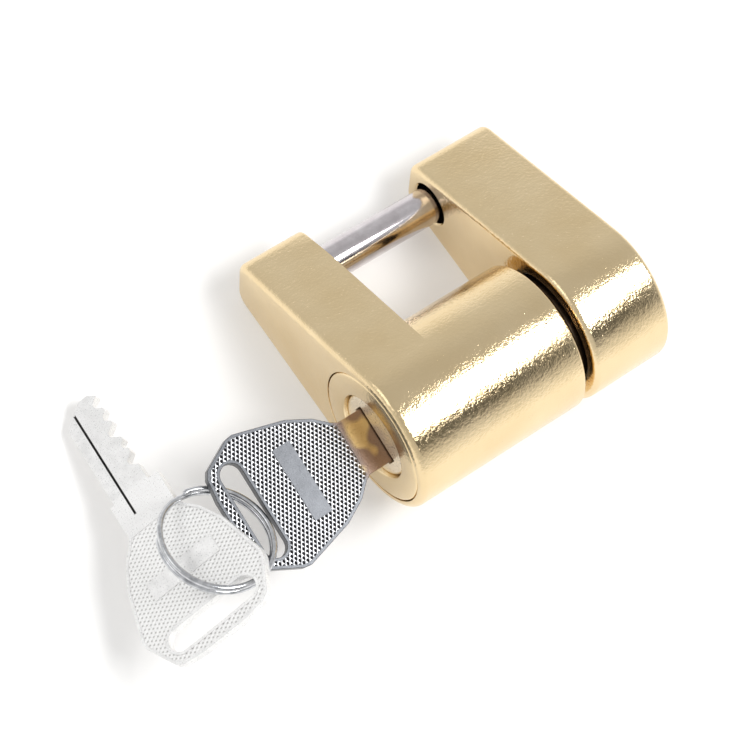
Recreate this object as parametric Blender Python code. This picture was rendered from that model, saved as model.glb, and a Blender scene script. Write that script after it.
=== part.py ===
"""Trailer coupler lock: an L-shaped plated body with a fixed hitch pin, a slide-off receiver
head, a pin-tumbler lock cylinder that turns a T-bolt, and two keys on a split ring.

Frame: +X runs from the key face to the receiver head, +Y from the lock cylinder to the
hitch pin, +Z up. The lock lies on its tapered flat side at Z = 0, and the origin is the
middle of the arm's share of that flat. Lengths are in millimetres until make_object.
"""

import bpy
import bmesh
from math import acos, atan2, cos, hypot, pi, radians, sin, tau
from mathutils import Matrix, Vector

MM = 0.001

# ---- driving dimensions -------------------------------------------------------------------
BARREL_R = 13.2          # round end of the teardrop section, over the lock cylinder
TAPER_Y = 34.3           # where the flat sides end, from the cylinder axis
TAPER_HALF = 5.5         # half thickness of the section there
NOSE_R = 3.2             # rounding between the flat sides and the pin-end face
ARM_W = 12.4             # arm beside the key face
BODY_END = 33.0          # end of the body at the gap
HEAD_START = 35.1        # inner face of the receiver head
HEAD_END = 50.7          # outer face of the receiver head
EDGE_R = 1.2             # rounding of the outer edges
LIP_R = 0.4              # rounding at the gap

PIN_R = 3.175            # quarter-inch hitch pin
PIN_Y = 30.6             # pin centre from the cylinder axis
PIN_START = 4.3
PIN_END = 45.3
PIN_HOLE_R = 3.8         # loose hole in the receiver head

FIT = 0.2                # gap round a fixed piece
RUN = 0.3                # gap round a moving piece

FLANGE_R = 11.6          # visible rim of the lock cylinder
FLANGE_T = 2.2
SHELL_R = 9.3
SHELL_END = 23.0
PLUG_FACE_R = 7.2
PLUG_FACE_X = (2.5, 4.4)      # recessed front disc of the plug
OPENING_R = 7.5
PLUG_R = 6.3
PLUG_END = 22.7
NECK_R = 3.4
NECK_END = 25.7
TANG_END = 27.1
CLIP_X = (23.4, 24.0)
CLIP_R = 8.0
BIBLE_TOP = 11.4         # top of the tumbler block, from the cylinder axis
BIBLE_HALF = 3.2
BIBLE_X = (2.0, 21.5)

TUMBLER_X = (6.6, 9.6, 12.6, 15.6, 18.6)
TUMBLER_R = 1.05
CHAMBER_GAP = 0.3
KEY_PIN_SPAN = (3.2, 6.1)
DRIVER_SPAN = (6.6, 8.5)
SPRING_SPAN = (8.7, 10.3)
COVER_SPAN = (10.7, 11.2)
COVER_HALF = 1.9
KEYWAY_HALF = 1.3
KEY_TILT = radians(10.1)     # the keyway's turn about X from level

SPINDLE_X = (26.2, 28.0)     # driven flange
T_HEAD_X = (40.6, 44.4)
T_HEAD_HALF = (6.4, 2.4)
SPINDLE_R = 3.5
COLLAR_R = 10.2
COLLAR_X = (28.6, 36.4)
PLATE_R = 10.5
PLATE_X = (37.9, 40.0)
PLATE_SLOT_HALF = (6.9, 2.8)
SCREW_AT = 9.1
SCREW_R = 0.8
SCREW_HEAD_R = 1.35
COUNTERBORE_R = 10.8         # mouth of the head, round the collar
SET_SCREW_R = 1.5
SET_SCREW_HOLE_R = 1.75
SET_SCREWS = {"cylinder_set_screw": (18.0, 9.8), "collar_set_screw": (30.8, 10.6)}
CAVITY_R = 7.4
CAVITY_END = 45.2

KEY_T = 1.8
KEY_REACH = 18.8             # blade from shoulder to tip
KEY_SPINE = -4.0             # plain edge of the blade
KEY_CREST = 2.9              # cut edge of the blade before cutting
KEY_CUTS = (1.3, 0.7, 1.6, 0.9, 1.2)
KEY_AT = 2.2                 # the key's shoulder, just off the plug's face
BOW_HALF = ((-6.0, 4.8), (-7.1, 5.4), (-9.3, 7.4), (-13.3, 9.5), (-21.9, 11.8),
            (-23.2, 11.6), (-28.2, 9.0), (-29.0, 7.8), (-29.5, 4.0))
SLOT_X = -25.3
SLOT_HALF = 6.4
SLOT_R = 1.9
BAR_X = -28.4                # middle of the bow's end bar, which the ring hangs on

RING_R = 9.05                # centre line of the split ring
WIRE_R = 0.48
RING_LIFT = 0.54             # half the distance between its two turns

# Places in the cylinder-axis frame. The ring runs through both keys' slots, over the
# spare key's face, and holds its bow off the table; its blade rests on the table.
RING_AT = (-30.78, -1.0, 1.43)
RING_TURN = (radians(-9.0), radians(15.6))
RING_SPIN = radians(120)
SPARE_AT = (-34.84, 13.62, -5.98)
SPARE_TURN = (radians(150.0), radians(15.8), radians(83.4))

SEGMENTS = 48


# ---- placing ------------------------------------------------------------------------------
def lock_frame():
    """Cylinder axis at Z = BARREL_R, and the origin on the arm's flat."""
    frame = bpy.data.objects.new("lock_frame", None)
    bpy.context.collection.objects.link(frame)
    frame.location = Vector((-ARM_W / 2, -TAPER_Y / 2, BARREL_R)) * MM
    return frame


def taper_angle():
    """Half angle between the flat sides of the teardrop section."""
    reach = hypot(TAPER_Y, TAPER_HALF)
    tangent_at = atan2(TAPER_HALF, TAPER_Y) + acos(BARREL_R / reach)
    return pi / 2 - tangent_at


# ---- materials ----------------------------------------------------------------------------
def material(name, colour, metallic, roughness):
    found = bpy.data.materials.get(name)
    if found:
        return found
    made = bpy.data.materials.new(name)
    made.use_nodes = True
    shader = made.node_tree.nodes["Principled BSDF"]
    shader.inputs["Base Color"].default_value = (*colour, 1.0)
    shader.inputs["Metallic"].default_value = metallic
    shader.inputs["Roughness"].default_value = roughness
    return made


def brass_plate():
    return material("brass_plate", (0.72, 0.56, 0.30), 1.0, 0.25)


def chrome():
    return material("chrome", (0.78, 0.77, 0.78), 1.0, 0.12)


def steel():
    return material("steel", (0.35, 0.32, 0.30), 1.0, 0.4)


def solid_brass():
    return material("solid_brass", (0.66, 0.47, 0.20), 1.0, 0.35)


def nickel():
    return material("nickel", (0.62, 0.63, 0.65), 1.0, 0.3)


# ---- shapes -------------------------------------------------------------------------------
def make_object(name, mesh_builder, finish, frame, tilt=0.0):
    """Run mesh_builder on an empty bmesh in millimetres and put the result in the lock frame."""
    shape = bmesh.new()
    mesh_builder(shape)
    bmesh.ops.recalc_face_normals(shape, faces=shape.faces)
    bmesh.ops.scale(shape, vec=(MM, MM, MM), verts=shape.verts)
    mesh = bpy.data.meshes.new(name)
    shape.to_mesh(mesh)
    shape.free()
    mesh.shade_smooth()
    mesh.set_sharp_from_angle(angle=radians(35))
    mesh.materials.append(finish)
    piece = bpy.data.objects.new(name, mesh)
    bpy.context.collection.objects.link(piece)
    piece.parent = frame
    piece.rotation_euler = (tilt, 0, 0)
    return piece


def circle(radius, count=SEGMENTS, centre=(0.0, 0.0)):
    steps = (tau * i / count for i in range(count))
    return [(centre[0] + radius * cos(a), centre[1] + radius * sin(a)) for a in steps]


def rectangle(u0, u1, v0, v1):
    return [(u0, v0), (u1, v0), (u1, v1), (u0, v1)]


def extruded(shape, corners, along):
    """A prism from a flat closed outline of points."""
    base = shape.faces.new([shape.verts.new(corner) for corner in corners])
    grown = bmesh.ops.extrude_face_region(shape, geom=[base])
    moved = [item for item in grown["geom"] if isinstance(item, bmesh.types.BMVert)]
    bmesh.ops.translate(shape, vec=along, verts=moved)


def prism_x(shape, outline, x0, x1):
    """Extrude a closed Y-Z outline along X."""
    extruded(shape, [(x0, y, z) for y, z in outline], (x1 - x0, 0, 0))


def plate(shape, outline, thickness):
    """Extrude a closed X-Y outline, half the thickness to each side of Z = 0."""
    extruded(shape, [(x, y, -thickness / 2) for x, y in outline], (0, 0, thickness))


def skin(shape, loops):
    """Join equal loops of points into one closed solid, flat at both ends."""
    rings = [[shape.verts.new(point) for point in loop] for loop in loops]
    for near, far in zip(rings, rings[1:]):
        for i in range(len(near)):
            j = (i + 1) % len(near)
            shape.faces.new((near[i], near[j], far[j], far[i]))
    shape.faces.new(rings[0])
    shape.faces.new(rings[-1])


def turned(shape, steps, count=SEGMENTS, centre=(0.0, 0.0)):
    """A solid turned about X from (x, radius) steps."""
    skin(shape, [[(x, y, z) for y, z in circle(radius, count, centre)] for x, radius in steps])


def upright(shape, steps, x, count=16):
    """A solid turned about the second axis, as the tumblers stand, from (height, radius)."""
    skin(shape, [[(x + dx, height, dz) for dx, dz in circle(radius, count)]
                 for height, radius in steps])


def sweep(shape, path, radius, count):
    """A round wire along a path."""
    loops = []
    for i, point in enumerate(path):
        ahead = path[min(i + 1, len(path) - 1)] - path[max(i - 1, 0)]
        turn = ahead.to_track_quat("Z", "Y")
        loops.append([point + turn @ Vector((a, b, 0)) for a, b in circle(radius, count)])
    skin(shape, loops)


def combine(piece, tools, operation, frame, tilt=0.0):
    """Join or cut a piece with helper solids that stay in the file as wire guides."""
    for number, builder in enumerate(tools):
        name = f"{piece.name}_{operation.lower()}_{number}"
        tool = make_object(name, builder, piece.data.materials[0], frame, tilt)
        tool.hide_render = True
        tool.display_type = "WIRE"
        step = piece.modifiers.new(name, "BOOLEAN")
        step.object = tool
        step.operation = operation
        step.solver = "EXACT"
    return piece


def cut(piece, tools, frame, tilt=0.0):
    return combine(piece, tools, "DIFFERENCE", frame, tilt)


def join(piece, tools, frame, tilt=0.0):
    return combine(piece, tools, "UNION", frame, tilt)


# ---- the teardrop section -----------------------------------------------------------------
def section_outline():
    """The teardrop's outline: the barrel arc, then the pin end, as two point lists."""
    slope = taper_angle()
    start = pi / 2 - slope
    count = 44
    barrel = []
    for i in range(count + 1):
        angle = start + (tau - 2 * start) * i / count
        barrel.append((BARREL_R * cos(angle), BARREL_R * sin(angle)))
    top = (TAPER_Y - NOSE_R * sin(slope), TAPER_HALF - NOSE_R * cos(slope))
    nose = []
    for side, angles in ((-1, range(0, 7)), (1, range(6, -1, -1))):
        for i in angles:
            angle = start * (1 - i / 6)
            nose.append((top[0] + NOSE_R * cos(angle), side * (top[1] + NOSE_R * sin(angle))))
    return barrel, nose


def bevel_marked_edges(piece, width, segments):
    """Round the edges whose bevel weight is set."""
    step = piece.modifiers.new("edge_rounding", "BEVEL")
    step.limit_method = "WEIGHT"
    step.width = width * MM
    step.segments = segments
    step.profile = 0.5


def weigh_edges(piece, plane_weights):
    """Give each edge that lies in a plane X = x the weight stated for it."""
    weights = piece.data.attributes.new("bevel_weight_edge", "FLOAT", "EDGE")
    for edge in piece.data.edges:
        ends = [piece.data.vertices[i].co.x / MM for i in edge.vertices]
        for plane, weight in plane_weights:
            if all(abs(x - plane) < 0.01 for x in ends):
                weights.data[edge.index].value = weight


def body_blank(shape):
    """The arm with the full section, stepping down to the plain barrel beyond ARM_W."""
    barrel, nose = section_outline()
    slope = taper_angle()
    start = pi / 2 - slope
    shoulder = []
    for i in range(1, 20):
        angle = -start + 2 * start * i / 20
        shoulder.append((BARREL_R * cos(angle), BARREL_R * sin(angle)))

    def ring(points, x):
        return [shape.verts.new((x, y, z)) for y, z in points]

    arc = {x: ring(barrel, x) for x in (0.0, ARM_W, BODY_END)}
    tip = {x: ring(nose, x) for x in (0.0, ARM_W)}
    saddle = {x: ring(shoulder, x) for x in (ARM_W, BODY_END)}

    def wall(near, far):
        for i in range(len(near)):
            j = (i + 1) % len(near)
            shape.faces.new((near[i], near[j], far[j], far[i]))

    wall(arc[0.0] + tip[0.0], arc[ARM_W] + tip[ARM_W])
    wall(arc[ARM_W] + saddle[ARM_W], arc[BODY_END] + saddle[BODY_END])
    shape.faces.new(arc[0.0] + tip[0.0])
    shape.faces.new(arc[BODY_END] + saddle[BODY_END])
    shape.faces.new([arc[ARM_W][-1]] + tip[ARM_W] + [arc[ARM_W][0]] + saddle[ARM_W][::-1])


def head_blank(shape):
    barrel, nose = section_outline()
    prism_x(shape, barrel + nose, HEAD_START, HEAD_END)


# ---- body group ---------------------------------------------------------------------------
def body_housing(frame):
    tilt = -taper_angle()
    body = make_object("body_housing", body_blank, brass_plate(), frame, tilt)
    weigh_edges(body, ((0.0, 1.0), (BODY_END, LIP_R / EDGE_R)))
    bevel_marked_edges(body, EDGE_R, 2)
    web_x = SHELL_END + 1.2
    collar_seat = COLLAR_X[0] - RUN

    def pin_hole(shape):
        turned(shape, [(PIN_START - FIT, PIN_R + FIT), (ARM_W + 1, PIN_R + FIT)], 28, (PIN_Y, 0))

    def round_bores(shape):
        turned(shape, [(-1, FLANGE_R + FIT), (FLANGE_T + RUN, FLANGE_R + FIT),
                       (FLANGE_T + RUN, SHELL_R + FIT), (web_x, SHELL_R + FIT),
                       (web_x, CLIP_R + 0.7), (collar_seat, CLIP_R + 0.7),
                       (collar_seat, COLLAR_R + FIT), (BODY_END + 1, COLLAR_R + FIT)])

    def bible_pocket(shape):
        outline = rectangle(4, BIBLE_TOP + FIT, -BIBLE_HALF - FIT, BIBLE_HALF + FIT)
        prism_x(shape, outline, BIBLE_X[0] - RUN, BIBLE_X[1] + RUN)

    def screw_hole(x):
        return lambda shape: upright(shape, [(8, SET_SCREW_HOLE_R), (BARREL_R + 1, SET_SCREW_HOLE_R)], x)

    cut(body, (pin_hole,), frame, tilt)
    cut(body, (round_bores,), frame)
    cut(body, (bible_pocket,), frame, KEY_TILT)
    cut(body, [screw_hole(x) for x, _ in SET_SCREWS.values()], frame, -pi / 2)
    return body


def hitch_pin(frame):
    def build(shape):
        rim = 0.6
        turned(shape, [(PIN_START, PIN_R - rim), (PIN_START + rim, PIN_R),
                       (PIN_END - rim, PIN_R), (PIN_END, PIN_R - rim)], 28, (PIN_Y, 0))

    make_object("hitch_pin", build, chrome(), frame, -taper_angle())


def set_screw(name, x, low, frame):
    """A socket set screw pointing at the cylinder axis from the underside."""
    top = BARREL_R - 0.7

    def build(shape):
        upright(shape, [(low, SET_SCREW_R), (top, SET_SCREW_R)], x)

    def socket(shape):
        upright(shape, [(top - 1.0, 0.8), (top + 1.0, 0.8)], x, 6)

    screw = make_object(name, build, steel(), frame, -pi / 2)
    cut(screw, (socket,), frame, -pi / 2)


def cylinder_shell(frame):
    def flange(shape):
        turned(shape, [(0, FLANGE_R - 0.25), (0.25, FLANGE_R), (FLANGE_T, FLANGE_R),
                       (FLANGE_T, SHELL_R), (SHELL_END, SHELL_R)])

    def bible(shape):
        prism_x(shape, rectangle(7, BIBLE_TOP, -BIBLE_HALF, BIBLE_HALF), *BIBLE_X)

    def bore(shape):
        step = PLUG_FACE_X[1] + RUN
        turned(shape, [(-0.5, OPENING_R + 1.1), (0.6, OPENING_R), (step, OPENING_R),
                       (step, PLUG_R + RUN), (SHELL_END + 1, PLUG_R + RUN)])

    def cover_seat(shape):
        low = COVER_SPAN[0] - FIT
        outline = rectangle(low, BIBLE_TOP + 1, -COVER_HALF - FIT, COVER_HALF + FIT)
        prism_x(shape, outline, TUMBLER_X[0] - 2.2, TUMBLER_X[-1] + 2.2)

    def chamber(x):
        radius = TUMBLER_R + CHAMBER_GAP
        return lambda shape: upright(shape, [(5, radius), (BIBLE_TOP + 1, radius)], x)

    shell = make_object("cylinder_shell", flange, solid_brass(), frame)
    join(shell, (bible,), frame, KEY_TILT)
    cut(shell, (bore,), frame)
    cut(shell, [cover_seat] + [chamber(x) for x in TUMBLER_X], frame, KEY_TILT)


def spring_cover(frame):
    def build(shape):
        outline = rectangle(*COVER_SPAN, -COVER_HALF, COVER_HALF)
        prism_x(shape, outline, TUMBLER_X[0] - 1.9, TUMBLER_X[-1] + 1.9)
    make_object("spring_cover", build, solid_brass(), frame, KEY_TILT)


def tumblers(frame):
    """A key pin, a driver pin and a spring in each of the five chambers."""
    for number, x in enumerate(TUMBLER_X, 1):
        make_object(f"key_pin_{number}", key_pin_builder(x), solid_brass(), frame, KEY_TILT)
        make_object(f"driver_pin_{number}", driver_builder(x), solid_brass(), frame, KEY_TILT)
        make_object(f"pin_spring_{number}", spring_builder(x), steel(), frame, KEY_TILT)


def key_pin_builder(x):
    """A key pin, pointed where it meets the blade."""
    low, high = KEY_PIN_SPAN
    steps = [(low, 0.45), (low + 0.6, TUMBLER_R), (high, TUMBLER_R)]
    return lambda shape: upright(shape, steps, x, 12)


def driver_builder(x):
    low, high = DRIVER_SPAN
    steps = [(low, TUMBLER_R), (high - 0.2, TUMBLER_R), (high, TUMBLER_R - 0.2)]
    return lambda shape: upright(shape, steps, x, 12)


def spring_builder(x):
    wire = 0.14
    coil_r = 0.85
    low = SPRING_SPAN[0] + wire
    high = SPRING_SPAN[1] - wire
    turns = 3
    steps = 10

    def build(shape):
        path = []
        for i in range(turns * steps + 1):
            angle = tau * i / steps
            rise = low + (high - low) * i / (turns * steps)
            path.append(Vector((x + coil_r * cos(angle), rise, coil_r * sin(angle))))
        sweep(shape, path, wire, 5)
    return build


def lock_plug(frame):
    def barrel(shape):
        front, step = PLUG_FACE_X
        turned(shape, [(front, PLUG_FACE_R - 0.4), (front + 0.4, PLUG_FACE_R),
                       (step, PLUG_FACE_R), (step, PLUG_R), (PLUG_END, PLUG_R),
                       (PLUG_END, NECK_R), (CLIP_X[0] - 0.3, NECK_R), (CLIP_X[0] - 0.3, 2.8),
                       (CLIP_X[1] + 0.3, 2.8), (CLIP_X[1] + 0.3, NECK_R),
                       (NECK_END, NECK_R), (NECK_END, 2.0), (NECK_END + 0.01, 2.0)], 48)

    def tang(shape):
        prism_x(shape, rectangle(-2.6, 2.6, -0.9, 0.9), NECK_END - 0.5, TANG_END)

    def keyway(shape):
        low = KEY_SPINE - RUN
        outline = rectangle(low, KEY_PIN_SPAN[0], -KEYWAY_HALF, KEYWAY_HALF)
        prism_x(shape, outline, 0, KEY_AT + KEY_REACH + 0.6)

    def chamber(x):
        radius = TUMBLER_R + CHAMBER_GAP
        return lambda shape: upright(shape, [(1, radius), (PLUG_R + 1, radius)], x)

    plug = make_object("lock_plug", barrel, solid_brass(), frame)
    join(plug, (tang,), frame, KEY_TILT)
    cut(plug, [keyway] + [chamber(x) for x in TUMBLER_X], frame, KEY_TILT)


def plug_clip(frame):
    def disc(shape):
        turned(shape, [(CLIP_X[0], CLIP_R), (CLIP_X[1], CLIP_R)], 40)

    def eye(shape):
        turned(shape, [(0, 3.1), (40, 3.1)], 28)

    def mouth(shape):
        prism_x(shape, rectangle(-CLIP_R - 1, 0, -2.4, 2.4), 0, 40)

    clip = make_object("plug_clip", disc, steel(), frame)
    cut(clip, (eye,), frame)
    cut(clip, (mouth,), frame, KEY_TILT)


def turn_bolt(frame):
    def spindle(shape):
        turned(shape, [(SPINDLE_X[0], 6.0), (SPINDLE_X[1], 6.0), (SPINDLE_X[1], SPINDLE_R),
                       (T_HEAD_X[0] + 0.5, SPINDLE_R)], 36)

    def bar(shape):
        y, z = T_HEAD_HALF
        prism_x(shape, rectangle(-y, y, -z, z), *T_HEAD_X)

    def slot(shape):
        prism_x(shape, rectangle(-2.9, 2.9, -1.2, 1.2), SPINDLE_X[0] - 1, TANG_END + 0.3)

    bolt = make_object("turn_bolt", spindle, steel(), frame)
    join(bolt, (bar,), frame, KEY_TILT)
    cut(bolt, (slot,), frame, KEY_TILT)


def spigot_collar(frame):
    def ring(shape):
        start, end = COLLAR_X
        turned(shape, [(start, COLLAR_R), (end - 0.6, COLLAR_R), (end, COLLAR_R - 0.6)])

    def bore(shape):
        turned(shape, [(20, SPINDLE_R + RUN), (45, SPINDLE_R + RUN)], 36)

    collar = make_object("spigot_collar", ring, steel(), frame)
    cut(collar, (bore,), frame)


# ---- receiver head ------------------------------------------------------------------------
def receiver_head(frame):
    tilt = -taper_angle()
    head = make_object("receiver_head", head_blank, brass_plate(), frame, tilt)
    weigh_edges(head, ((HEAD_START, 0.9), (HEAD_END, 0.7)))
    bevel_marked_edges(head, EDGE_R, 2)

    def pin_hole(shape):
        turned(shape, [(HEAD_START - 1, PIN_HOLE_R), (PIN_END + 0.9, PIN_HOLE_R)], 36, (PIN_Y, 0))

    def mouth(shape):
        seat = PLATE_X[1] + FIT
        turned(shape, [(HEAD_START - 1, COUNTERBORE_R), (seat, COUNTERBORE_R),
                       (seat, CAVITY_R), (CAVITY_END, CAVITY_R)])

    cut(head, (pin_hole,), frame, tilt)
    cut(head, (mouth,), frame)
    cut(head, [plate_screw_hole(side) for side in (-1, 1)], frame, KEY_TILT)


def plate_screw_hole(side):
    def build(shape):
        turned(shape, [(30, SCREW_R + FIT), (44.4, SCREW_R + FIT)], 14, (0, side * SCREW_AT))
    return build


def latch_plate(frame):
    def disc(shape):
        turned(shape, [(PLATE_X[0], PLATE_R), (PLATE_X[1], PLATE_R)], 48)

    def slot(shape):
        y, z = PLATE_SLOT_HALF
        prism_x(shape, rectangle(-y, y, -z, z), 30, 45)

    def eye(shape):
        turned(shape, [(30, SPINDLE_R + RUN), (45, SPINDLE_R + RUN)], 36)

    plate = make_object("latch_plate", disc, steel(), frame)
    cut(plate, [slot, eye] + [plate_screw_hole(side) for side in (-1, 1)], frame, KEY_TILT)


def latch_screws(frame):
    for number, side in enumerate((-1, 1), 1):
        def build(shape):
            top = PLATE_X[0] - 0.25
            turned(shape, [(top - 0.5, SCREW_HEAD_R - 0.2), (top - 0.3, SCREW_HEAD_R),
                           (top, SCREW_HEAD_R), (top, SCREW_R), (44.0, SCREW_R)],
                   14, (0, side * SCREW_AT))
        make_object(f"latch_screw_{number}", build, steel(), frame, KEY_TILT)


# ---- keys and ring ------------------------------------------------------------------------
def key_outline():
    """The key's plan in its own frame: x toward the tip, y across, shoulder at x = 0."""
    cuts = []
    for x, depth in zip(TUMBLER_X, KEY_CUTS):
        x -= KEY_AT
        flat = 0.4
        run = flat + 0.7 * depth
        cuts += [(x - run, KEY_CREST), (x - flat, KEY_CREST - depth),
                 (x + flat, KEY_CREST - depth), (x + run, KEY_CREST)]
    blade = [(0, KEY_CREST)] + cuts + [(KEY_REACH - 1.0, KEY_CREST), (KEY_REACH, 1.6),
                                       (KEY_REACH, -0.2), (KEY_REACH - 3.0, KEY_SPINE),
                                       (0, KEY_SPINE)]
    near = [(x, -y) for x, y in BOW_HALF]
    far = list(BOW_HALF[::-1])
    return blade + [(0, -BOW_HALF[0][1])] + near + far + [(0, BOW_HALF[0][1])]


def slot_outline():
    """The long hole across the bow that the ring passes through."""
    points = []
    for side, start in ((1, 0.0), (-1, pi)):
        for i in range(9):
            angle = start + pi * i / 8
            points.append((SLOT_X + SLOT_R * cos(angle), side * SLOT_HALF + SLOT_R * sin(angle)))
    return points


def pivot(name, at, frame):
    """An empty on a joint's axis, for the piece that turns about it."""
    made = bpy.data.objects.new(name, None)
    bpy.context.collection.objects.link(made)
    made.parent = frame
    made.location = Vector(at) * MM
    return made


def put(piece, at, turn, holder):
    """Place a piece, given in the lock frame, under the pivot that holds it."""
    piece.parent = holder
    piece.matrix_local = Matrix.Translation(Vector(at) * MM - holder.location) @ turn


def key(name, at, turn, frame, holder):
    """A key with its shoulder at a point of the lock frame."""
    made = make_object(name, lambda shape: plate(shape, key_outline(), KEY_T), nickel(), frame)
    cut(made, (lambda shape: plate(shape, slot_outline(), 2 * KEY_T),), frame)
    for piece in (made, made.modifiers[-1].object):
        put(piece, at, turn, holder)


def split_ring(at, turn, frame, holder):
    """Two stacked turns of wire, joined by a short ramp where one passes over the other."""
    ramp = radians(30)

    def build(shape):
        path = []
        count = 74
        for i in range(count + 1):
            angle = ramp + (2 * tau - 2 * ramp) * i / count
            climb = min(max((angle - tau + ramp) / (2 * ramp), 0), 1)
            lift = RING_LIFT * (2 * climb * climb * (3 - 2 * climb) - 1)
            path.append(Vector((RING_R * cos(angle), RING_R * sin(angle), lift)))
        sweep(shape, path, WIRE_R, 10)

    put(make_object("split_ring", build, steel(), frame), at, turn, holder)


def keys_and_ring(frame):
    key_pivot = pivot("key_pivot", (0, 0, 0), frame)
    key("key_in_lock", (KEY_AT, 0, 0), Matrix.Rotation(KEY_TILT, 4, "X"), frame, key_pivot)
    ring_turn = Matrix.Rotation(RING_TURN[0], 4, "X") @ Matrix.Rotation(RING_TURN[1], 4, "Y")
    spin = Matrix.Rotation(RING_SPIN, 4, "Z")
    ring_pivot = pivot("ring_pivot", (KEY_AT + BAR_X, 0, 0), frame)
    split_ring(RING_AT, ring_turn @ spin, frame, ring_pivot)
    spare_turn = (Matrix.Rotation(SPARE_TURN[2], 4, "Z") @ Matrix.Rotation(SPARE_TURN[1], 4, "Y")
                  @ Matrix.Rotation(SPARE_TURN[0], 4, "X"))
    spare_pivot = pivot("spare_pivot", RING_AT, frame)
    key("spare_key", SPARE_AT, spare_turn, frame, spare_pivot)


def main():
    for old in list(bpy.data.objects):
        bpy.data.objects.remove(old, do_unlink=True)
    frame = lock_frame()
    body_housing(frame)
    hitch_pin(frame)
    for name, (x, low) in SET_SCREWS.items():
        set_screw(name, x, low, frame)
    cylinder_shell(frame)
    spring_cover(frame)
    tumblers(frame)
    lock_plug(frame)
    plug_clip(frame)
    turn_bolt(frame)
    spigot_collar(frame)
    receiver_head(frame)
    latch_plate(frame)
    latch_screws(frame)
    keys_and_ring(frame)


main()
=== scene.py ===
"""Looks of the trailer coupler lock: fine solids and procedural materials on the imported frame."""

from math import acos, atan2, cos, hypot, pi, radians, sin, tau

import bmesh
import bpy
from mathutils import Matrix, Vector

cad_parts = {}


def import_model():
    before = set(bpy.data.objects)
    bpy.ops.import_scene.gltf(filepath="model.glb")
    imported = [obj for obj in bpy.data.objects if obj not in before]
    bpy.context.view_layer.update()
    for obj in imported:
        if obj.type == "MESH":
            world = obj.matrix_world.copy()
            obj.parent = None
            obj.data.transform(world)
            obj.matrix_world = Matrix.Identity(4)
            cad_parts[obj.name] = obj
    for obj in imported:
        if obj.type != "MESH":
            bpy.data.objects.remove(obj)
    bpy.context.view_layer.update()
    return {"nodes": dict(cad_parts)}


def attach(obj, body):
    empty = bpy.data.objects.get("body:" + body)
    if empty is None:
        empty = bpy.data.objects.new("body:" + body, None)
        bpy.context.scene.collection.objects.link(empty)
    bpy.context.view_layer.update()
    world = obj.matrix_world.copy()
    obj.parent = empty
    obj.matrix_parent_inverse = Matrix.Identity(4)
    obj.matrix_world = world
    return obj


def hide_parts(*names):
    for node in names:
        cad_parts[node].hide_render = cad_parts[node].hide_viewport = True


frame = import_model()

MM = 0.001

# ---- sizes that the CAD model also holds, in millimetres -----------------------------------
BARREL_R = 13.2
TAPER_Y = 34.3
TAPER_HALF = 5.5
NOSE_R = 3.2
ARM_W = 12.4
BODY_END = 33.0
HEAD_START = 35.1
HEAD_END = 50.7
PIN_Y = 30.6
PIN_R = 3.175
PIN_START = 4.3
PIN_END = 45.3
PIN_HOLE_R = 3.8
SET_SCREW_X = (18.0, 30.8)
SCREW_AT = 9.1
FLANGE_R = 11.6
OPENING_R = 7.5
PLUG_FACE_R = 7.2
PLUG_FACE_X = 2.5
KEY_TILT = radians(10.1)
KEY_T = 1.8
KEY_AT = 2.2
KEY_REACH = 18.8
KEY_SPINE = -4.0
KEY_CREST = 2.9
KEY_CUTS = ((4.4, 1.3), (7.4, 0.7), (10.4, 1.6), (13.4, 0.9), (16.4, 1.2))
NECK_HALF = 4.8
BOW_HALF = ((-6.0, NECK_HALF), (-7.1, 5.4), (-9.3, 7.4), (-13.3, 9.5), (-21.9, 11.8),
            (-23.2, 11.6), (-28.2, 9.0), (-29.0, 7.8), (-29.5, 4.0))
SLOT_X = -25.3
SLOT_HALF = 6.4
SLOT_R = 1.9
RING_R = 9.05
WIRE_R = 0.48
RING_LIFT = 0.54
RING_AT = (-30.78, -1.0, 1.43)
RING_TURN = (radians(-9.0), radians(15.6))
RING_SPIN = radians(120)
SPARE_AT = (-34.84, 13.62, -5.98)
SPARE_TURN = (radians(150.0), radians(15.8), radians(83.4))
AXIS_AT = Vector((-ARM_W / 2, -TAPER_Y / 2, BARREL_R))

# ---- sizes that only the looks have, in millimetres ------------------------------------------
DISC_FRONT = 0.6            # the plug's front, nearly flush with the land round it
NECK_SLOT = (5.1, 1.3)      # half width and half height of the slot for the key's neck
KEYWAY = (-4.25, 3.15, 1.25)    # from, to and half height
PANEL = (-17.7, -14.4, 6.4)     # the blank rectangle: from, to and half width
KEY_RIM = 0.5
DIMPLE_PITCH = 0.75
DIMPLE_SLANT = 0.62
DIMPLE_DEPTH = 0.17
GROOVES = {"top": (3.0, -0.45, 0.05), "under": (-3.6, 1.6, 2.0)}    # start, and the two sides
GROOVE_DEPTH = 0.45
SINK = 0.3                  # how far the dimpled field lies under the rim
FLOOR_DROP = 0.05
FINE = 128                  # points round a turned shape

# ---- light and camera -------------------------------------------------------------------------
DIM_SIDE = Vector((0.357, -0.70, 0.62))
LENS = 122.07
CAMERA_AT = (-143.95, -86.42, 383.31)
LOOK_ALONG = (0.35662, 0.19161, -0.91439)
LOOK_UP = (0.48753, 0.79674, 0.3571)


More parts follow.
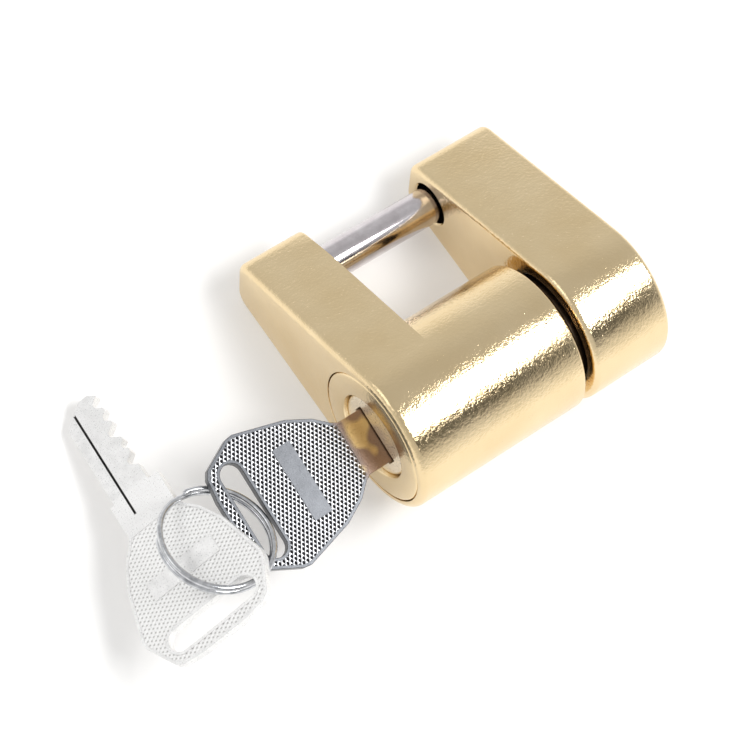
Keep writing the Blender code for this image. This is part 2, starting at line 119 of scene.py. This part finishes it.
# ---- material helpers -----------------------------------------------------------------------
class Finish:
    """A node material whose texture coordinates are the piece's own, in millimetres."""

    def __init__(self, name, colour, metallic, roughness):
        self.material = bpy.data.materials.new(name)
        self.material.use_nodes = True
        self.tree = self.material.node_tree
        self.shader = self.tree.nodes["Principled BSDF"]
        self.shader.inputs["Base Color"].default_value = (*colour, 1)
        self.shader.inputs["Metallic"].default_value = metallic
        self.shader.inputs["Roughness"].default_value = roughness
        coords = self.node("ShaderNodeTexCoord")
        scale = self.node("ShaderNodeMapping")
        scale.inputs["Scale"].default_value = (1 / MM, 1 / MM, 1 / MM)
        self.link(coords.outputs["Object"], scale.inputs["Vector"])
        self.place = scale.outputs["Vector"]
        self.height = None

    def node(self, kind, **values):
        made = self.tree.nodes.new(kind)
        for key, value in values.items():
            setattr(made, key, value)
        return made

    def link(self, source, target):
        self.tree.links.new(source, target)

    def stretched(self, scale, turn=(0, 0, 0)):
        made = self.node("ShaderNodeMapping")
        made.inputs["Scale"].default_value = scale
        made.inputs["Rotation"].default_value = turn
        self.link(self.place, made.inputs["Vector"])
        return made.outputs["Vector"]

    def noise(self, scale, detail=4.0, rough=0.6, place=None):
        made = self.node("ShaderNodeTexNoise")
        made.inputs["Scale"].default_value = scale
        made.inputs["Detail"].default_value = detail
        made.inputs["Roughness"].default_value = rough
        self.link(place or self.place, made.inputs["Vector"])
        return made.outputs["Fac"]

    def cells(self, scale):
        made = self.node("ShaderNodeTexVoronoi")
        made.inputs["Scale"].default_value = scale
        self.link(self.place, made.inputs["Vector"])
        return made.outputs["Distance"]

    def ramp(self, value, stops):
        made = self.node("ShaderNodeValToRGB")
        bar = made.color_ramp
        while len(bar.elements) < len(stops):
            bar.elements.new(0.5)
        for element, (at, colour) in zip(bar.elements, stops):
            element.position = at
            shade = colour if isinstance(colour, tuple) else (colour, colour, colour)
            element.color = (*shade, 1)
        self.link(value, made.inputs["Fac"])
        return made.outputs["Color"]

    def blend(self, factor, first, second):
        made = self.node("ShaderNodeMix", data_type="RGBA")
        for socket, value in ((made.inputs[0], factor), (made.inputs[6], first),
                              (made.inputs[7], second)):
            if isinstance(value, bpy.types.NodeSocket):
                self.link(value, socket)
            elif isinstance(value, tuple):
                socket.default_value = (*value, 1)
            else:
                socket.default_value = value
        return made.outputs[2]

    def bump(self, height, strength, distance):
        made = self.node("ShaderNodeBump")
        made.inputs["Strength"].default_value = strength
        made.inputs["Distance"].default_value = distance * MM
        self.link(height, made.inputs["Height"])
        if self.height:
            self.link(self.height, made.inputs["Normal"])
        self.height = made.outputs["Normal"]
        self.link(self.height, self.shader.inputs["Normal"])

    def colour(self, value):
        self.link(value, self.shader.inputs["Base Color"])

    def roughness(self, value):
        self.link(value, self.shader.inputs["Roughness"])


def gold_plate():
    """Bright plating over a die casting: an even tone, fine grain, soft waves and a few pits."""
    f = Finish("gold_plate", (0.86, 0.71, 0.43), 1.0, 0.2)
    grain = f.noise(1.9, 3.0, 0.62)
    tone = f.noise(0.12, 2.0, 0.5)
    pits = f.cells(0.9)
    f.colour(f.ramp(tone, ((0.3, (0.83, 0.65, 0.382)), (0.7, (0.88, 0.706, 0.44)))))
    f.roughness(f.ramp(grain, ((0.3, 0.10), (0.7, 0.19))))
    f.bump(f.noise(0.3, 2.0, 0.5), 0.3, 0.2)
    f.bump(grain, 1.0, 0.062)
    f.bump(f.ramp(pits, ((0.03, 0.0), (0.10, 1.0))), 0.5, 0.05)
    f.bump(f.noise(1.0, 3.0, 0.6, f.stretched((9.0, 0.5, 0.5), (0.2, 0.3, 0.9))), 0.2, 0.01)
    return f.material


def chrome():
    """The pin's bright, slightly scored finish."""
    f = Finish("chrome_pin", (0.66, 0.62, 0.635), 1.0, 0.1)
    drawn = f.noise(1.0, 4.0, 0.6, f.stretched((0.15, 9.0, 9.0)))
    f.roughness(f.ramp(drawn, ((0.3, 0.07), (0.7, 0.2))))
    f.colour(f.ramp(f.noise(0.4), ((0.3, (0.60, 0.555, 0.57)), (0.7, (0.72, 0.685, 0.70)))))
    f.bump(drawn, 0.25, 0.01)
    return f.material


def brass_face():
    """The plug's pale, smooth face."""
    f = Finish("plug_face", (0.90, 0.76, 0.55), 0.7, 0.35)
    turned_marks = f.noise(3.0, 3.0, 0.6)
    f.colour(f.ramp(f.noise(0.3), ((0.3, (0.93, 0.79, 0.57)), (0.7, (0.97, 0.85, 0.66)))))
    f.roughness(f.ramp(turned_marks, ((0.3, 0.24), (0.7, 0.36))))
    f.bump(turned_marks, 0.3, 0.02)
    return f.material


def metal(name, dark, light, rough, grain_scale, strength):
    """Plain machined metal between two tones."""
    f = Finish(name, light, 1.0, rough)
    grain = f.noise(grain_scale, 5.0, 0.65)
    f.colour(f.ramp(f.noise(0.7, 3.0), ((0.3, dark), (0.7, light))))
    f.roughness(f.ramp(grain, ((0.3, rough * 0.8), (0.7, rough * 1.25))))
    f.bump(grain, strength, 0.02)
    return f.material


def key_metal(name, metallic, light, lattice, pit_shade, pit_at, neck_reflection_tones):
    """Nickel plate: plain where "pit" is -1, dimples painted with shade where it is high, and a neck
    painted with a reflection of the gold lock.
    """
    f = Finish(name, light, metallic, 0.3)
    pit = f.node("ShaderNodeAttribute", attribute_name="pit")
    along = f.node("ShaderNodeAttribute", attribute_name="along")
    grain = f.noise(5.0, 5.0, 0.65)
    dim = tuple(0.86 * c for c in light)
    plain = f.ramp(f.noise(0.7, 3.0), ((0.3, dim), (0.7, light)))
    in_field = f.node("ShaderNodeMath", operation="GREATER_THAN")
    in_field.inputs[1].default_value = -0.5
    f.link(pit.outputs["Fac"], in_field.inputs[0])
    base = f.blend(in_field.outputs[0], plain, lattice)
    # The dimples get a darker colour the deeper they are: painted shade in their hollows.
    dimples_shaded = f.blend(f.ramp(pit.outputs["Fac"], pit_at), base, pit_shade)
    # The neck is tinted brown and gold: a painted reflection of the gold lock on the nickel key.
    neck = f.ramp(along.outputs["Fac"], ((0.20, 0.0), (0.28, 1.0), (0.51, 1.0), (0.54, 0.0)))
    neck_reflection = f.ramp(f.noise(0.3, 0.0), ((0.54, neck_reflection_tones[0]), (0.66, neck_reflection_tones[1])))
    f.colour(f.blend(neck, dimples_shaded, neck_reflection))
    f.roughness(f.ramp(grain, ((0.3, 0.24), (0.7, 0.38))))
    f.bump(grain, 0.2, 0.02)
    return f.material


# ---- mesh helpers ---------------------------------------------------------------------------
def to_world(tilt=0.0):
    """Lock-frame millimetres, turned by tilt about the cylinder axis, to world metres."""
    return (Matrix.Scale(MM, 4) @ Matrix.Translation(AXIS_AT) @ Matrix.Rotation(tilt, 4, "X"))


def solid(name, builder, place):
    shape = bmesh.new()
    builder(shape)
    bmesh.ops.recalc_face_normals(shape, faces=shape.faces)
    shape.transform(place)
    mesh = bpy.data.meshes.new(name)
    shape.to_mesh(mesh)
    shape.free()
    made = bpy.data.objects.new(name, mesh)
    bpy.context.scene.collection.objects.link(made)
    return made


def bake_modifiers(piece):
    depsgraph = bpy.context.evaluated_depsgraph_get()
    mesh = bpy.data.meshes.new_from_object(piece.evaluated_get(depsgraph))
    piece.modifiers.clear()
    piece.data = mesh


def combine(piece, tools, operation):
    """Boolean with helper solids, baked into the mesh, and the helpers removed."""
    for tool in tools:
        step = piece.modifiers.new("step", "BOOLEAN")
        step.object = tool
        step.operation = operation
        step.solver = "EXACT"
    bake_modifiers(piece)
    for tool in tools:
        bpy.data.objects.remove(tool, do_unlink=True)


def smooth(piece, angle=32):
    piece.data.shade_smooth()
    piece.data.set_sharp_from_angle(angle=radians(angle))


def round_edges(piece, width, segments, limit=None):
    """Round weighted edges, or with a limit all edges sharper than that angle."""
    step = piece.modifiers.new("round", "BEVEL")
    step.width = width * MM
    step.segments = segments
    step.limit_method = "ANGLE" if limit else "WEIGHT"
    if limit:
        step.angle_limit = radians(limit)
    step.harden_normals = False
    bake_modifiers(piece)


def finish_piece(piece, body, material, replaced=()):
    """Give a piece its material and body, and hide the nodes it stands for."""
    piece.data.materials.clear()
    piece.data.materials.append(material)
    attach(piece, body)
    if replaced:
        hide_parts(*replaced)


def circle(radius, count=FINE, centre=(0.0, 0.0)):
    steps = (tau * i / count for i in range(count))
    return [(centre[0] + radius * cos(a), centre[1] + radius * sin(a)) for a in steps]


def skin(shape, rings):
    """Join rings of points into a closed solid."""
    count = len(rings[0])
    for near, far in zip(rings, rings[1:]):
        for i in range(count):
            j = (i + 1) % count
            shape.faces.new((near[i], near[j], far[j], far[i]))
    shape.faces.new(rings[0])
    shape.faces.new(rings[-1])


def turned(steps, count=FINE, centre=(0.0, 0.0)):
    """A solid of revolution along X from (x, radius) steps."""
    def build(shape):
        skin(shape, [[shape.verts.new((x, y, z)) for y, z in circle(radius, count, centre)]
                     for x, radius in steps])
    return build


def prism_x(outline, x0, x1):
    def build(shape):
        skin(shape, [[shape.verts.new((x, y, z)) for y, z in outline] for x in (x0, x1)])
    return build


def prism_z(outline, z0, z1):
    def build(shape):
        skin(shape, [[shape.verts.new((x, y, z)) for x, y in outline] for z in (z0, z1)])
    return build


def box(a0, a1, b0, b1):
    return ((a0, b0), (a1, b0), (a1, b1), (a0, b1))


def taper_angle():
    """Lean of the section's flat side from the line between barrel and nose."""
    tangent_at = atan2(TAPER_HALF, TAPER_Y) + acos(BARREL_R / hypot(TAPER_Y, TAPER_HALF))
    return pi / 2 - tangent_at


LEAN = -taper_angle()


def section_outline():
    """The teardrop section, as its barrel arc and its nose with two rounded corners."""
    slope = taper_angle()
    start = pi / 2 - slope
    count = 110
    barrel = []
    for i in range(count + 1):
        angle = start + (tau - 2 * start) * i / count
        barrel.append((BARREL_R * cos(angle), BARREL_R * sin(angle)))
    centre = (TAPER_Y - NOSE_R * sin(slope), TAPER_HALF - NOSE_R * cos(slope))
    nose = []
    steps = 10
    for side, order in ((-1, range(steps + 1)), (1, range(steps, -1, -1))):
        for i in order:
            angle = start * (1 - i / steps)
            nose.append((centre[0] + NOSE_R * cos(angle), side * (centre[1] + NOSE_R * sin(angle))))
    return barrel, nose


def weigh(piece, test):
    """Bevel weight for each edge from test(first, second), which takes lock-frame points."""
    back = to_world(LEAN).inverted()
    points = [back @ v.co for v in piece.data.vertices]
    weights = piece.data.attributes.new("bevel_weight_edge", "FLOAT", "EDGE")
    for edge in piece.data.edges:
        a, b = (points[i] for i in edge.vertices)
        weights.data[edge.index].value = test(a, b)


def at_plane(a, b, x):
    """Whether an edge lies in the plane at x."""
    return abs(a.x - x) < 0.01 and abs(b.x - x) < 0.01


# ---- the plated body and head ---------------------------------------------------------------
def body_blank(shape):
    """Arm and barrel as one skin, with the shoulder where the barrel leaves the arm."""
    barrel, nose = section_outline()
    start = pi / 2 - taper_angle()
    shoulder = []
    for i in range(1, 40):
        angle = -start + 2 * start * i / 40
        shoulder.append((BARREL_R * cos(angle), BARREL_R * sin(angle)))

    def ring(points, x):
        return [shape.verts.new((x, y, z)) for y, z in points]

    arc = {x: ring(barrel, x) for x in (0.0, ARM_W, BODY_END)}
    tip = {x: ring(nose, x) for x in (0.0, ARM_W)}
    saddle = {x: ring(shoulder, x) for x in (ARM_W, BODY_END)}

    def wall(near, far):
        for i in range(len(near)):
            j = (i + 1) % len(near)
            shape.faces.new((near[i], near[j], far[j], far[i]))

    wall(arc[0.0] + tip[0.0], arc[ARM_W] + tip[ARM_W])
    wall(arc[ARM_W] + saddle[ARM_W], arc[BODY_END] + saddle[BODY_END])
    shape.faces.new(arc[0.0] + tip[0.0])
    shape.faces.new(arc[BODY_END] + saddle[BODY_END])
    shape.faces.new([arc[ARM_W][-1]] + tip[ARM_W] + [arc[ARM_W][0]] + saddle[ARM_W][::-1])


def plated_body(material):
    piece = solid("plated_body", body_blank, to_world(LEAN))

    def weight(a, b):
        if at_plane(a, b, 0):
            return 1.0
        if at_plane(a, b, BODY_END):
            return 0.33
        if at_plane(a, b, ARM_W) and min(hypot(a.y, a.z), hypot(b.y, b.z)) > BARREL_R + 0.5:
            return 0.5
        return 0.0

    weigh(piece, weight)
    round_edges(piece, 1.2, 6)
    straight = to_world()
    tools = [solid("hole", turned(((PIN_START - 0.2, PIN_R + 0.15), (ARM_W - 0.25, PIN_R + 0.15),
                                   (ARM_W + 0.2, PIN_R + 0.6)), 64, (PIN_Y, 0)), to_world(LEAN)),
             solid("bore", turned(((-1, FLANGE_R + 1.2), (0.06, FLANGE_R + 0.14), (2.5, FLANGE_R + 0.14),
                                   (2.5, 9.5), (24.2, 9.5), (24.2, 8.7), (28.3, 8.7),
                                   (28.3, 10.4), (BODY_END - 0.3, 10.4), (BODY_END + 1, 11.7))), straight),
             solid("pocket", prism_x(box(4, 11.6, -3.4, 3.4), 1.7, 21.8), to_world(KEY_TILT))]
    for x in SET_SCREW_X:
        down = straight @ Matrix.Translation((x, 0, 0)) @ Matrix.Rotation(pi / 2, 4, "Y")
        tools.append(solid("screw", turned(((8, 1.75), (BARREL_R + 1, 1.75)), 40), down))
    combine(piece, tools, "DIFFERENCE")
    smooth(piece)
    finish_piece(piece, "lock_body", material, ("body_housing",))


def head_blank(shape):
    barrel, nose = section_outline()
    prism_x(barrel + nose, HEAD_START, HEAD_END)(shape)


def plated_head(material):
    piece = solid("plated_head", head_blank, to_world(LEAN))
    weigh(piece, lambda a, b: 0.9 if at_plane(a, b, HEAD_START) else
          0.75 if at_plane(a, b, HEAD_END) else 0.0)
    round_edges(piece, 1.2, 6)
    tools = [solid("hole", turned(((HEAD_START - 0.5, PIN_HOLE_R + 0.7), (HEAD_START + 0.35, PIN_HOLE_R),
                                   (PIN_END + 0.9, PIN_HOLE_R)), 72, (PIN_Y, 0)), to_world(LEAN)),
             solid("mouth", turned(((HEAD_START - 0.5, 11.5), (HEAD_START + 0.3, 10.8), (40.2, 10.8),
                                    (40.2, 7.4), (45.2, 7.4))), to_world())]
    for side in (-1, 1):
        tools.append(solid("thread", turned(((30, 1.0), (44.4, 1.0)), 24, (0, side * SCREW_AT)),
                           to_world(KEY_TILT)))
    combine(piece, tools, "DIFFERENCE")
    smooth(piece)
    finish_piece(piece, "head", material, ("receiver_head",))


def hitch_pin(material):
    steps = [(PIN_START, PIN_R - 0.7), (PIN_START + 0.7, PIN_R), (PIN_END - 0.9, PIN_R),
             (PIN_END - 0.35, PIN_R - 0.3), (PIN_END, PIN_R - 0.9)]
    piece = solid("polished_pin", turned(steps, 96, (PIN_Y, 0)), to_world(LEAN))
    smooth(piece)
    finish_piece(piece, "lock_body", material, ("hitch_pin",))


def cylinder_lip(material):
    """The lock cylinder's flush land, with an eased edge round the opening."""
    steps = [(1.2, FLANGE_R + 0.02), (0.2, FLANGE_R + 0.02), (0.0, FLANGE_R - 0.18),
             (-0.05, FLANGE_R - 0.4), (-0.05, OPENING_R + 0.4), (0.0, OPENING_R + 0.15),
             (0.25, OPENING_R - 0.02), (2.3, OPENING_R - 0.05)]

    def build(shape):
        rings = [[shape.verts.new((x, y, z)) for y, z in circle(radius)] for x, radius in steps]
        for near, far in zip(rings, rings[1:] + rings[:1]):
            for i in range(FINE):
                j = (i + 1) % FINE
                shape.faces.new((near[i], near[j], far[j], far[i]))

    piece = solid("cylinder_lip", build, to_world())
    smooth(piece, 50)
    finish_piece(piece, "lock_body", material)


def plug_disc(material):
    """The plug's smooth front, nearly flush, with a slot for the key's neck over the keyway."""
    steps = [(PLUG_FACE_X + 1.0, PLUG_FACE_R + 0.03), (DISC_FRONT + 0.3, PLUG_FACE_R + 0.03),
             (DISC_FRONT + 0.05, PLUG_FACE_R - 0.15), (DISC_FRONT, PLUG_FACE_R - 0.5)]
    piece = solid("plug_disc", turned(steps), to_world())
    y0, y1, half = KEYWAY
    wide, high = NECK_SLOT
    tools = [solid("keyway", prism_x(box(y0, y1, -half, half), 0, 6), to_world(KEY_TILT)),
             solid("neck_slot", prism_x(box(-wide, wide, -high, high), -1, KEY_AT + 0.3),
                   to_world(KEY_TILT))]
    combine(piece, tools, "DIFFERENCE")
    smooth(piece, 50)
    finish_piece(piece, "plug", material)


def spigot_collar(material):
    steps = [(28.6, 10.2), (33.6, 10.2), (33.8, 9.9), (34.3, 9.9), (34.5, 10.2), (35.8, 10.2), (36.4, 9.6)]
    piece = solid("gap_collar", turned(steps), to_world())
    combine(piece, [solid("bore", turned(((20, 3.8), (45, 3.8)), 64), to_world())], "DIFFERENCE")
    smooth(piece)
    finish_piece(piece, "lock_body", material, ("spigot_collar",))


# ---- keys and ring --------------------------------------------------------------------------
def mirrored(half):
    return [(x, -y) for x, y in half] + list(half[::-1])


def key_outline():
    """Blade with its cuts, neck and bow."""
    cuts = []
    for x, depth in KEY_CUTS:
        run = 0.4 + 0.7 * depth
        cuts += [(x - run, KEY_CREST), (x - 0.4, KEY_CREST - depth),
                 (x + 0.4, KEY_CREST - depth), (x + run, KEY_CREST)]
    blade = [(0, KEY_CREST)] + cuts + [(KEY_REACH - 1.0, KEY_CREST), (KEY_REACH, 1.6),
                                       (KEY_REACH, -0.2), (KEY_REACH - 3.0, KEY_SPINE), (0, KEY_SPINE)]
    return blade + [(0, -NECK_HALF)] + mirrored(BOW_HALF) + [(0, NECK_HALF)]


def stadium(radius, steps=12):
    """Outline of the long hole across the bow, with round ends."""
    points = []
    for side in (1, -1):
        for i in range(steps + 1):
            angle = (0 if side == 1 else pi) + pi * i / steps
            points.append((SLOT_X + radius * cos(angle), side * SLOT_HALF + radius * sin(angle)))
    return points


def inset_outline(half, margin):
    """The bow's outline moved inwards by margin, closed at the neck end."""
    points = mirrored(half)
    moved = []
    for i, (x, y) in enumerate(points):
        before = Vector(points[i - 1])
        after = Vector(points[(i + 1) % len(points)])
        here = Vector((x, y))
        first = (here - before).normalized()
        second = (after - here).normalized()
        normal = (Vector((first.y, -first.x)) + Vector((second.y, -second.x))).normalized()
        shrink = margin / max(0.5, normal.dot(Vector((first.y, -first.x))))
        centre = Vector((-17, 0))
        sign = 1 if normal.dot(here - centre) > 0 else -1
        moved.append(tuple(here - sign * normal * shrink))
    return moved


def pit_depth(x, y):
    """0 on the lattice between the dimples, 1 at the bottom of a dimple."""
    a = sin(pi * (x + DIMPLE_SLANT * y) / DIMPLE_PITCH)
    b = sin(pi * (x - DIMPLE_SLANT * y) / DIMPLE_PITCH)
    return abs(a * b)


def mark(piece, place, name, formula):
    """A value for each point of a piece, from the point's place on the key."""
    back = place.inverted()
    values = piece.data.attributes.new(name, "FLOAT", "POINT")
    for vertex in piece.data.vertices:
        values.data[vertex.index].value = formula(back @ vertex.co)


def knurl(shape):
    """A closed plate whose top is a field of small dimples."""
    step = 0.125
    x0, x1, half = -29.2, -5.4, 11.6
    nx = int((x1 - x0) / step)
    ny = int(2 * half / step)
    top = []
    for i in range(nx + 1):
        row = []
        for j in range(ny + 1):
            x = x0 + i * step
            y = -half + j * step
            z = KEY_T / 2 - 0.03 - DIMPLE_DEPTH * pit_depth(x, y)
            row.append(shape.verts.new((x, y, z)))
        top.append(row)
    for i in range(nx):
        for j in range(ny):
            shape.faces.new((top[i][j], top[i + 1][j], top[i + 1][j + 1], top[i][j + 1]))
    rim = ([top[i][0] for i in range(nx + 1)] + [top[nx][j] for j in range(1, ny + 1)]
           + [top[i][ny] for i in range(nx - 1, -1, -1)] + [top[0][j] for j in range(ny - 1, 0, -1)])
    low = [shape.verts.new((v.co.x, v.co.y, KEY_T / 2 - 0.5)) for v in rim]
    for i in range(len(rim)):
        j = (i + 1) % len(rim)
        shape.faces.new((rim[i], rim[j], low[j], low[i]))
    shape.faces.new(low)


def pocket_tool(place, low, high, margin):
    """The sunk field of the bow: inside its rim, outside the slot's rim and the blank panel."""
    field = solid("field", prism_z(inset_outline(BOW_HALF, margin), low, high), place)
    slot_rim = solid("slot_rim", prism_z(stadium(SLOT_R + margin), low - 1, high + 1), place)
    x0, x1, half = PANEL
    edge = margin - KEY_RIM
    panel = solid("panel", prism_z(box(x0 - edge, x1 + edge, -half - edge, half + edge),
                                   low - 1, high + 1), place)
    combine(field, [slot_rim, panel], "DIFFERENCE")
    return field


def key(name, node, body, place, materials):
    """Bow with a raised rim, a dimpled field and a blank panel on both sides, and a milled blade."""
    finish, groove_shade_finish = materials
    piece = solid(name, prism_z(key_outline(), -KEY_T / 2, KEY_T / 2), place)
    combine(piece, [solid("slot", prism_z(stadium(SLOT_R), -3, 3), place)], "DIFFERENCE")
    round_edges(piece, 0.16, 2, 40)
    faces = {"top": place, "under": place @ Matrix.Rotation(pi, 4, "X")}
    tools = []
    for label, flip in faces.items():
        start, y0, y1 = GROOVES[label]
        groove = box(start, KEY_REACH + 1, y0, y1)
        tools.append(pocket_tool(flip, KEY_T / 2 - SINK, KEY_T / 2 + 1, KEY_RIM))
        tools.append(solid("groove", prism_z(groove, KEY_T / 2 - GROOVE_DEPTH, KEY_T / 2 + 1), flip))
    combine(piece, tools, "DIFFERENCE")
    smooth(piece, 20)
    mark(piece, place, "pit", lambda point: -1.0)
    mark(piece, place, "along", lambda point: 0.5 + point.x / 24)
    finish_piece(piece, body, finish, (node,))
    piece.data.materials.append(groove_shade_finish)
    back = place.inverted()
    # Faces in the two grooves take the second slot, the groove's painted shade.
    for face in piece.data.polygons:
        centre = back @ face.center
        if -3.7 < centre.x < 16 and abs(centre.z) < KEY_T / 2 - 0.1 and -2.15 < centre.y < 0.6:
            face.material_index = 1
    for label, flip in faces.items():
        inlay = solid(f"{name}_knurl_{label}", knurl, flip)
        inside = pocket_tool(flip, KEY_T / 2 - SINK + 0.01, KEY_T / 2 + 1, KEY_RIM + 0.02)
        combine(inlay, [inside], "INTERSECT")
        smooth(inlay, 60)
        mark(inlay, flip, "pit", lambda point: pit_depth(point.x, point.y))
        mark(inlay, flip, "along", lambda point: 0.5 + point.x / 24)
        finish_piece(inlay, body, finish)


def split_ring(material):
    """Two stacked turns of wire, joined by a short climb."""
    ramp = radians(30)
    path = []
    count = 420
    for i in range(count + 1):
        angle = ramp + (2 * tau - 2 * ramp) * i / count
        climb = min(max((angle - tau + ramp) / (2 * ramp), 0), 1)
        lift = RING_LIFT * (2 * climb * climb * (3 - 2 * climb) - 1)
        path.append(Vector((RING_R * cos(angle), RING_R * sin(angle), lift)))

    def build(shape):
        rings = []
        for i, point in enumerate(path):
            ahead = path[min(i + 1, count)] - path[max(i - 1, 0)]
            turn = ahead.to_track_quat("Z", "Y")
            taper = 1.0 - 0.35 * max(0, 1 - min(i, count - i) / 2)
            rings.append([shape.verts.new(point + turn @ Vector((a, b, 0)))
                          for a, b in circle(WIRE_R * taper, 20)])
        skin(shape, rings)

    turn = Matrix.Rotation(RING_TURN[0], 4, "X") @ Matrix.Rotation(RING_TURN[1], 4, "Y")
    place = to_world() @ Matrix.Translation(RING_AT) @ turn @ Matrix.Rotation(RING_SPIN, 4, "Z")
    piece = solid("wire_ring", build, place)
    smooth(piece, 40)
    finish_piece(piece, "ring", material, ("split_ring",))


def keys_and_ring():
    # The groove's near-black colour is painted shade inside the milled groove on both keys.
    groove = metal("key_groove_shade", (0.03, 0.028, 0.026), (0.08, 0.075, 0.07), 0.4, 5.0, 0.2)
    # Key in the lock: its black dimple tone is painted shade, and its brown and gold neck tones are a
    # painted reflection of the gold lock.
    dark = key_metal("key_dark", 1.0, (0.125, 0.13, 0.14), (0.53, 0.54, 0.56), (0.02, 0.02, 0.022),
                     ((0.26, 0.0), (0.5, 1.0)), ((0.34, 0.23, 0.17), (0.80, 0.58, 0.27)))
    pale = (0.93, 0.925, 0.915)
    # Spare key: the grey dimple tone is painted shade in the dimples.
    bright = key_metal("key_bright", 0.45, pale, pale, (0.50, 0.49, 0.475),
                       ((0.62, 0.0), (0.85, 1.0)), (pale, pale))
    in_lock = to_world() @ Matrix.Translation((KEY_AT, 0, 0)) @ Matrix.Rotation(KEY_TILT, 4, "X")
    key("nickel_key", "key_in_lock", "key", in_lock, (dark, groove))
    turn = (Matrix.Rotation(SPARE_TURN[2], 4, "Z") @ Matrix.Rotation(SPARE_TURN[1], 4, "Y")
            @ Matrix.Rotation(SPARE_TURN[0], 4, "X"))
    spare = to_world() @ Matrix.Translation(SPARE_AT) @ turn
    key("nickel_spare_key", "spare_key", "spare", spare, (bright, groove))
    split_ring(metal("ring_wire", (0.42, 0.43, 0.45), (0.75, 0.76, 0.78), 0.2, 5.0, 0.1))


# ---- carried-over nodes ---------------------------------------------------------------------
def carry_over(brass, steel):
    """Materials for the CAD nodes that no finer piece replaces."""
    for name, node in frame["nodes"].items():
        if name in ("body_housing", "receiver_head", "hitch_pin", "spigot_collar", "key_in_lock",
                    "spare_key", "split_ring"):
            continue
        is_brass = name.startswith(("key_pin", "driver_pin")) or name in (
            "lock_plug", "spring_cover", "cylinder_shell")
        for slot in node.material_slots:
            slot.material = brass if is_brass else steel


# ---- stage ----------------------------------------------------------------------------------
def floor():
    def build(shape):
        corners = ((-2500, -2500), (2500, -2500), (2500, 2500), (-2500, 2500))
        shape.faces.new([shape.verts.new((x, y, -FLOOR_DROP)) for x, y in corners])

    piece = solid("floor", build, Matrix.Scale(MM, 4))
    f = Finish("pale_floor", (0.72, 0.717, 0.71), 0.0, 0.6)
    f.shader.inputs["Emission Color"].default_value = (1.0, 0.985, 0.97, 1)
    f.shader.inputs["Emission Strength"].default_value = 0.3
    f.colour(f.ramp(f.noise(0.02, 2.0), ((0.3, (0.70, 0.697, 0.69)), (0.7, (0.74, 0.737, 0.73)))))
    piece.data.materials.append(f.material)


def world():
    """A pale room, brightest at the horizon, with a dim stretch beside the key light."""
    made = bpy.data.worlds.new("studio")
    made.use_nodes = True
    tree = made.node_tree
    coords = tree.nodes.new("ShaderNodeTexCoord")
    split = tree.nodes.new("ShaderNodeSeparateXYZ")
    tree.links.new(coords.outputs["Generated"], split.inputs[0])
    heights = ((0.0, 1.0), (0.10, 0.97), (0.24, 0.72), (0.55, 0.69), (0.75, 0.6), (1.0, 0.58))
    beside = tree.nodes.new("ShaderNodeVectorMath")
    beside.operation = "DOT_PRODUCT"
    beside.inputs[1].default_value = DIM_SIDE.normalized()
    tree.links.new(coords.outputs["Generated"], beside.inputs[0])
    dims = ((0.93, 1.0), (0.985, 0.14))
    shades = []
    for value, stops in ((split.outputs["Z"], heights), (beside.outputs["Value"], dims)):
        ramp = tree.nodes.new("ShaderNodeValToRGB")
        bar = ramp.color_ramp
        while len(bar.elements) < len(stops):
            bar.elements.new(0.5)
        for element, (at, level) in zip(bar.elements, stops):
            element.position = at
            element.color = (level, level, level, 1)
        tree.links.new(value, ramp.inputs["Fac"])
        shades.append(ramp.outputs["Color"])
    both = tree.nodes.new("ShaderNodeMix")
    both.data_type = "RGBA"
    both.blend_type = "MULTIPLY"
    both.inputs[0].default_value = 1.0
    tree.links.new(shades[0], both.inputs[6])
    tree.links.new(shades[1], both.inputs[7])
    tree.links.new(both.outputs[2], tree.nodes["Background"].inputs["Color"])
    tree.nodes["Background"].inputs["Strength"].default_value = 0.95
    bpy.context.scene.world = made


def softbox(name, direction, distance, size, power):
    """A rectangular lamp at a distance from the origin, which it faces."""
    data = bpy.data.lights.new(name, "AREA")
    data.shape = "RECTANGLE"
    data.size, data.size_y = size
    data.energy = power
    lamp = bpy.data.objects.new(name, data)
    bpy.context.scene.collection.objects.link(lamp)
    lamp.location = Vector(direction).normalized() * distance
    lamp.rotation_euler = (-Vector(direction)).to_track_quat("-Z", "Y").to_euler()


def camera():
    data = bpy.data.cameras.new("camera")
    data.lens = LENS
    data.sensor_width = 36.0
    made = bpy.data.objects.new("camera", data)
    bpy.context.scene.collection.objects.link(made)
    ahead = Vector(LOOK_ALONG).normalized()
    up = Vector(LOOK_UP)
    right = ahead.cross(up).normalized()
    up = right.cross(ahead)
    turn = Matrix((right, up, -ahead)).transposed()
    made.matrix_world = Matrix.Translation(Vector(CAMERA_AT) * MM) @ turn.to_4x4()
    bpy.context.scene.camera = made


def main():
    camera()
    world()
    floor()
    softbox("key_light", (0.36, -0.36, 0.865), 0.9, (0.55, 0.26), 5.4)
    softbox("fill_light", (-0.7, 0.5, 0.9), 1.1, (0.7, 0.5), 1.2)
    plating = gold_plate()
    brass = metal("turned_brass", (0.56, 0.38, 0.14), (0.74, 0.56, 0.28), 0.24, 6.0, 0.3)
    steel = metal("machined_steel", (0.38, 0.38, 0.39), (0.52, 0.52, 0.53), 0.3, 6.0, 0.3)
    # The spigot collar's near-black brown is dark steel painted darker still with the shade in the gap
    # between body and head.
    dark = metal("dark_steel", (0.05, 0.035, 0.025), (0.11, 0.08, 0.06), 0.35, 6.0, 0.3)
    carry_over(brass, steel)
    plated_body(plating)
    plated_head(plating)
    hitch_pin(chrome())
    spigot_collar(dark)
    cylinder_lip(plating)
    plug_disc(brass_face())
    keys_and_ring()
    view = bpy.context.scene.view_settings
    view.view_transform = "Standard"
    view.look = "None"


main()
